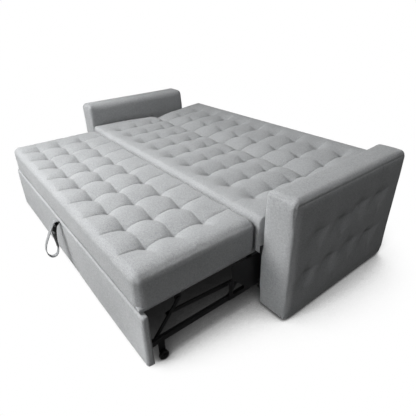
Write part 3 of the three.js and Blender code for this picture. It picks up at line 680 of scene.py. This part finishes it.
def arm_cover(side, sign, seed):
    """The right arm, or its mirror image: buttoned outside, sewn from front, top and side panels."""
    low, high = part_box("right_arm_cover")
    points, quads, flat, facing, corners = rounded_cover(
        arm_lines(low, high), lambda flat: arm_edges(flat, low, high), high.z - ARM_FOAM, ARM_FOAM)
    x, y, z = flat.T
    outward = np.clip(facing[:, 0], 0, 1)
    upward = np.clip(facing[:, 2], 0, 1)
    frontward = np.clip(-facing[:, 1], 0, 1)
    below = corners[:, 2] == 0
    pull = tuft_pull(y, z, seed)
    swollen = ARM_BULGE * np.clip(np.sin(np.pi * (z - low.z) / (high.z - low.z)), 0, 1) ** 0.5
    move = np.zeros_like(points)
    move[:, 0] += outward * (swollen - ARM_BULGE - pull)
    move[:, 0] -= outward * groove(z - (high.z - TOP_SEAM), TOP_SEAM_DEPTH, TOP_SEAM_WIDTH)
    from_middle = np.clip(np.abs(points[:, 0] - (low.x + high.x) / 2) / (high.x - low.x) * 2, 0, 1)
    move[:, 2] += (TOP_RISE - TOP_FALL * from_middle ** 3) * eased(z, high.z - 0.10, high.z)
    border = np.minimum(np.abs(high.x - FRONT_SEAM - x), np.abs(high.z - FRONT_SEAM - z))
    sunk = np.where(corners[:, 1] == 0, groove(border, FRONT_SEAM_DEPTH, FRONT_SEAM_WIDTH), 0)
    move -= facing * sunk[:, None]
    full = eased(z, 0.06, 0.16) * eased(z, 0.37, 0.30)
    move[:, 1] -= frontward * FRONT_BELLY * full * eased(x, high.x - 0.05, low.x + 0.03)
    points += np.where(below[:, None], 0, move)
    round_rear_foot(points, low, high)
    if sign < 0:
        points[:, 0] *= -1
        quads = [q[::-1] for q in quads]
    piece = new_piece(side + "_arm", points, quads, GREY)
    from_tufts = [np.hypot(y - (ARM_FRONT + ty), z - tz) for ty, tz in ARM_TUFTS]
    held = np.where((np.min(from_tufts, axis=0) < TUFT_SIZE) & (outward > 0.5), 1.0, 0.0)
    held = np.where((upward > 0.2) | (z > high.z - 0.03), 0.5, held)
    held = np.where((facing[:, 0] < -0.3) | (z < low.z + 0.03) | (sunk > SEAM_HELD), 1.0, held)
    held = np.where(below, 1.0, held)
    swell(piece, held, ARM_FULLNESS, ARM_MOST)
    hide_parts(side + "_arm_cover")
    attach(piece, "sofa_base")


arm_cover("right", 1, SEED + 3)
arm_cover("left", -1, SEED + 4)


# Front panel: its cover wraps the board's edges

panel_low, panel_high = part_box("front_panel_cover")
PANEL_EDGE = 0.011
PANEL_END = 0.018
PANEL_RIM = 0.003
PANEL_WRAP = 0.0027
PANEL_CROWN = 0.002
PANEL_SWELL = 0.006
PANEL_RIPPLES = 9
RIPPLE_HEIGHT = 0.00035


def panel_cover():
    """Built lying on its back and then stood up: its outer face looks down -Y."""
    bottom = panel_low.z
    rim = RIM_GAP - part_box("front_panel_board")[1].y
    face = -panel_low.y
    shoulder = face - PANEL_EDGE
    xs = spaced(panel_low.x, panel_high.x, (PANEL_END, PANEL_END), [], [], 0.03)
    ys = spaced(bottom, panel_high.z, (PANEL_EDGE, PANEL_EDGE), [], [], 0.02)
    sides = np.linspace(rim + PANEL_RIM, shoulder, 4)
    zs = np.concatenate([[rim, rim + PANEL_RIM / 3], sides, shoulder + over_edge(PANEL_EDGE)])
    radii = np.array([[PANEL_END, PANEL_EDGE, PANEL_RIM], [PANEL_END, PANEL_EDGE, PANEL_EDGE]])
    points, quads, flat, facing, _ = rounded_cover([xs, ys, zs], radii, -panel_high.y, PANEL_WRAP)
    rng = np.random.default_rng(SEED + 5)
    x, y = flat[:, 0], flat[:, 1]
    ripple = np.zeros(len(points))
    for _ in range(PANEL_RIPPLES):
        run = rng.uniform(3, 11)
        ripple += RIPPLE_HEIGHT * np.sin(run * x + rng.uniform(0, 6.28) + rng.uniform(-14, 14) * y)
    height = np.clip((y - bottom) / (panel_high.z - bottom), 0, 1)
    raised = np.clip(facing[:, 2], 0, 1)
    points[:, 2] += raised * (PANEL_CROWN * np.sin(np.pi * height) ** 0.4 - PANEL_CROWN + ripple)
    points[:, 2] += np.clip((points[:, 2] - rim) / (face - rim), 0, 1) * PANEL_SWELL * (1 - height) ** 0.7
    stood = np.stack([points[:, 0], -points[:, 2], points[:, 1]], 1)
    piece = new_piece("front_panel", stood, quads, GREY)
    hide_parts("front_panel_cover")
    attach(piece, "trundle")


panel_cover()


# Pivot bolts: domed heads on washers, on the outer faces of the lower rails

BOLT_HEAD = [(0.0090, 0), (0.0090, 0.0006), (0.0070, 0.0007), (0.0066, 0.0012), (0.0045, 0.0019),
             (0.0018, 0.0022)]
BOLT_SIDES = 28
BOLT_GAP = 0.0001
PIVOT_HEIGHT = 0.009
PIVOTS = {"front": ARM_FRONT - 0.558, "rear": ARM_FRONT - 0.160}


def pivot_bolt(name, y, sign):
    """A head turned from its outline of radii and heights."""
    rail_low, rail_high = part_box("right_lower_rail")
    face = rail_high.x + BOLT_GAP
    height = rail_low.z + PIVOT_HEIGHT
    points = []
    for radius, out in BOLT_HEAD:
        for k in range(BOLT_SIDES):
            turn = 2 * math.pi * k / BOLT_SIDES
            along, up = radius * math.cos(turn), radius * math.sin(turn)
            points.append((sign * (face + out), y + along, height + up))
    quads = []
    for ring in range(len(BOLT_HEAD) - 1):
        for k in range(BOLT_SIDES):
            a, b = ring * BOLT_SIDES + k, ring * BOLT_SIDES + (k + 1) % BOLT_SIDES
            quads.append((a, b, b + BOLT_SIDES, a + BOLT_SIDES))
    last = (len(BOLT_HEAD) - 1) * BOLT_SIDES
    quads.append(tuple(range(last, last + BOLT_SIDES)))
    quads.append(tuple(range(BOLT_SIDES))[::-1])
    piece = new_piece(name, points, quads if sign > 0 else [q[::-1] for q in quads], STEEL)
    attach(piece, "trundle")


for side, sign in (("left", -1), ("right", 1)):
    for place, y in PIVOTS.items():
        pivot_bolt(side + "_" + place + "_pivot_bolt", y, sign)


# Pull strap: a fabric ribbon sewn into a teardrop loop, with a near-black band inside its rear leg: black
# webbing, made as dark as the loop's shaded inner side looks, so partly painted shade. The loop is given in
# shares of its reach and its drop, and an inner band by its first and last step, width, thickness and
# distance from the ribbon's middle.

STRAP_DROP = 0.209
STRAP_REACH = 0.102
STRAP_GAP = 0.0023
STRAP_WIDTH = 0.028
STRAP_THICK = 0.0034
STRAP_STEPS = 132
STRAP_LOOP_SHARES = [
    (0, 0.968), (0.07, 0.936), (0.205, 0.886), (0.31, 0.78), (0.36, 0.622), (0.37, 0.455), (0.37, 0.263),
    (0.43, 0.11), (0.548, 0.02), (0.715, 0), (0.87, 0.038), (0.98, 0.148), (0.99, 0.292), (0.9, 0.445),
    (0.735, 0.603), (0.54, 0.77), (0.4, 0.89), (0.27, 0.986), (0.085, 0.996)]
# Two short grey bands lie over the near-black band in the rear leg
INNER_BANDS = [("strap_webbing_and_painted_shade", 7, 44, 0.037, 0.0014, -0.0024, WEBBING_AND_PAINTED_SHADE),
               ("strap_grey_band_upper", 13, 18, 0.017, 0.0008, -0.0035, STRAP),
               ("strap_grey_band_lower", 24, 28, 0.017, 0.0008, -0.0035, STRAP)]


def strap_line(count):
    """Points round the closed loop, in Y and Z."""
    knots = np.array([(panel_low.y - STRAP_GAP - out * STRAP_REACH, panel_high.z - STRAP_DROP * (1 - up))
                      for out, up in STRAP_LOOP_SHARES])
    at = np.arange(count) * len(knots) / count
    i = at.astype(int)
    t = (at - i)[:, None]
    a, b, c, d = (knots[(i + k) % len(knots)] for k in (-1, 0, 1, 2))
    bend, twist = 2 * a - 5 * b + 4 * c - d, 3 * b - a - 3 * c + d
    return 0.5 * (2 * b + (c - a) * t + bend * t ** 2 + twist * t ** 3)


def strap_turn(n):
    """How far the band turns about its own line, as a slope: most in the rear leg."""
    return 0.05 * math.sin(4 * math.pi * n / STRAP_STEPS + 0.6) + 0.40 * math.exp(-((n - 24) / 15) ** 2)


def ribbon(name, line, first, closed, width, thick, offset, finish):
    """A flat band of the given width along X, swept along a line in Y and Z."""
    count = len(line)
    ahead = np.roll(line, -1, 0) - np.roll(line, 1, 0)
    if not closed:
        ahead[0], ahead[-1] = line[1] - line[0], line[-1] - line[-2]
    ahead /= np.linalg.norm(ahead, axis=1)[:, None]
    side = np.stack([-ahead[:, 1], ahead[:, 0]], 1)
    half, lip = width / 2, thick / 2
    across_face = [-half + lip, -half * 0.5, 0, half * 0.5, half - lip]
    outer = [(across, lip) for across in across_face]
    inner = [(across, -lip) for across in across_face[::-1]]
    section = [(-half, 0)] + outer + [(half, 0)] + inner
    points, quads = [], []
    for n in range(count):
        lean = strap_turn(first + n)
        for across, out in section:
            y, z = line[n] + side[n] * (out + offset + lean * across)
            points.append((across, y, z))
    size = len(section)
    for n in range(count if closed else count - 1):
        m = (n + 1) % count
        for k in range(size):
            j = (k + 1) % size
            quads.append((n * size + k, n * size + j, m * size + j, m * size + k))
    if not closed:
        quads.append(tuple(range(size))[::-1])
        quads.append(tuple((count - 1) * size + k for k in range(size)))
    return new_piece(name, points, quads, finish)


loop = strap_line(STRAP_STEPS)
strap = ribbon("strap_ribbon", loop, 0, True, STRAP_WIDTH, STRAP_THICK, 0, STRAP)
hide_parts("pull_strap")
bands = [ribbon(name, loop[first:last], first, False, width, thick, offset, finish)
         for name, first, last, width, thick, offset, finish in INNER_BANDS]
for band in [strap] + bands:
    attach(band, "pull_strap_loop")


# Camera, floor and light

PICTURE_SIDE = 416
LENS_PIXELS = 353.63
SENSOR_WIDTH = 36
CAMERA_PLACE = (1.8042, ARM_FRONT - 0.9774, 1.3026)
CAMERA_TURN = (1.0489, 0.0225, 0.9013)
FLOOR_HALF = 40
# The floor's painted contact shadow: its reach, the lean of the sky it is taken from, its darkest tone, the
# open share where it turns white, and its tones between
SHADOW_REACH = 1.1
SHADOW_LEAN = (-0.30, -0.38, 0.87)
DEEPEST = 0.004
FULLY_OPEN = 0.64
PAINTED_SHADOW_TONES = [(0.14, 0.006), (0.165, 0.009), (0.20, 0.018), (0.25, 0.055), (0.32, 0.108), (0.38, 0.16),
                (0.40, 0.27), (0.46, 0.47), (0.49, 0.72), (0.56, 0.90)]
FLOOR_GREY = 0.18
WORLD_LIGHT = 0.045


def photo_camera():
    data = bpy.data.cameras.new("photo_camera")
    data.sensor_width = SENSOR_WIDTH
    data.lens = LENS_PIXELS / PICTURE_SIDE * SENSOR_WIDTH
    camera = bpy.data.objects.new("photo_camera", data)
    camera.location = CAMERA_PLACE
    camera.rotation_euler = CAMERA_TURN
    scene = bpy.context.scene
    scene.collection.objects.link(camera)
    scene.camera = camera
    scene.view_settings.view_transform = "Standard"


def seen_or_lighting(nodes, links, seen, lighting):
    """The one shader where the camera sees it, and the other where it lights the sofa."""
    path = nodes.new("ShaderNodeLightPath")
    mix = nodes.new("ShaderNodeMixShader")
    links.new(path.outputs["Is Camera Ray"], mix.inputs[0])
    links.new(lighting.outputs[0], mix.inputs[1])
    links.new(seen.outputs[0], mix.inputs[2])
    return mix


def floor_with_painted_shadow():
    """A white floor that glows for the camera, with a painted soft contact shadow: it comes from how much
    of the sky the sofa hides, with the sky leaned towards the front left. What lights the sofa is a dull
    grey floor.
    """
    material, nodes, links = make_material("floor_with_painted_shadow")
    nodes.remove(nodes["Principled BSDF"])
    hidden = nodes.new("ShaderNodeAmbientOcclusion")
    hidden.samples = 32
    hidden.inputs["Distance"].default_value = SHADOW_REACH
    lean = nodes.new("ShaderNodeCombineXYZ")
    for axis, part in zip("XYZ", SHADOW_LEAN):
        lean.inputs[axis].default_value = part
    links.new(lean.outputs[0], hidden.inputs["Normal"])
    shade = two_tones(nodes, (DEEPEST,) * 3, 0, (1, 1, 1), FULLY_OPEN)
    for open_share, tone in PAINTED_SHADOW_TONES:
        shade.color_ramp.elements.new(open_share).color = (tone, tone, tone, 1)
    links.new(hidden.outputs["AO"], shade.inputs[0])
    # Painted shadow: the camera sees the floor glow in a tone picked from the occlusion, not lit by the
    # lamps
    painted_shadow_glow = nodes.new("ShaderNodeEmission")
    links.new(shade.outputs[0], painted_shadow_glow.inputs["Color"])
    dull = nodes.new("ShaderNodeBsdfDiffuse")
    dull.inputs["Color"].default_value = (FLOOR_GREY, FLOOR_GREY, FLOOR_GREY, 1)
    seen = seen_or_lighting(nodes, links, painted_shadow_glow, dull)
    links.new(seen.outputs[0], nodes["Material Output"].inputs["Surface"])
    half = FLOOR_HALF
    floor = new_piece("floor", [(-half, -half, 0), (half, -half, 0), (half, half, 0), (-half, half, 0)],
                      [(0, 1, 2, 3)], material)


def soft_light(name, place, aim, size, power, spread=180):
    """A round softbox at a place, aimed at a point, whose light spreads by so many degrees."""
    data = bpy.data.lights.new(name, "AREA")
    data.shape = "DISK"
    data.size = size
    data.energy = power
    data.spread = math.radians(spread)
    lamp = bpy.data.objects.new(name, data)
    lamp.location = place
    lamp.rotation_euler = (Vector(aim) - Vector(place)).to_track_quat("-Z", "Y").to_euler()
    bpy.context.scene.collection.objects.link(lamp)


def studio_world():
    """White behind the sofa, and a little light from all round."""
    world = bpy.data.worlds.new("studio")
    world.use_nodes = True
    nodes, links = world.node_tree.nodes, world.node_tree.links
    ground = nodes["Background"]
    ground.inputs["Color"].default_value = (1, 1, 1, 1)
    ground.inputs["Strength"].default_value = WORLD_LIGHT
    white = nodes.new("ShaderNodeBackground")
    white.inputs["Color"].default_value = (1, 1, 1, 1)
    seen = seen_or_lighting(nodes, links, white, ground)
    links.new(seen.outputs[0], nodes["World Output"].inputs["Surface"])
    bpy.context.scene.world = world


photo_camera()
floor_with_painted_shadow()
soft_light("key", (-1.4, -2.35, 2.85), (0.4, -0.6, 0.3), 2.4, 81, 110)
soft_light("front_fill", (1.2, -4.3, 0.4), (0.6, 0, 0.2), 3.0, 42)
soft_light("overhead", (0.4, -1.5, 3.5), (0.2, -0.6, 0.3), 2.6, 30)
soft_light("side_fill", (2.7, 1.3, 3.2), (1.1, 0.4, 0.3), 0.8, 14)
soft_light("arm_fill", (1.25, -2.3, 0.2), (1.03, -0.66, 0.08), 0.3, 0.32, 30)
studio_world()
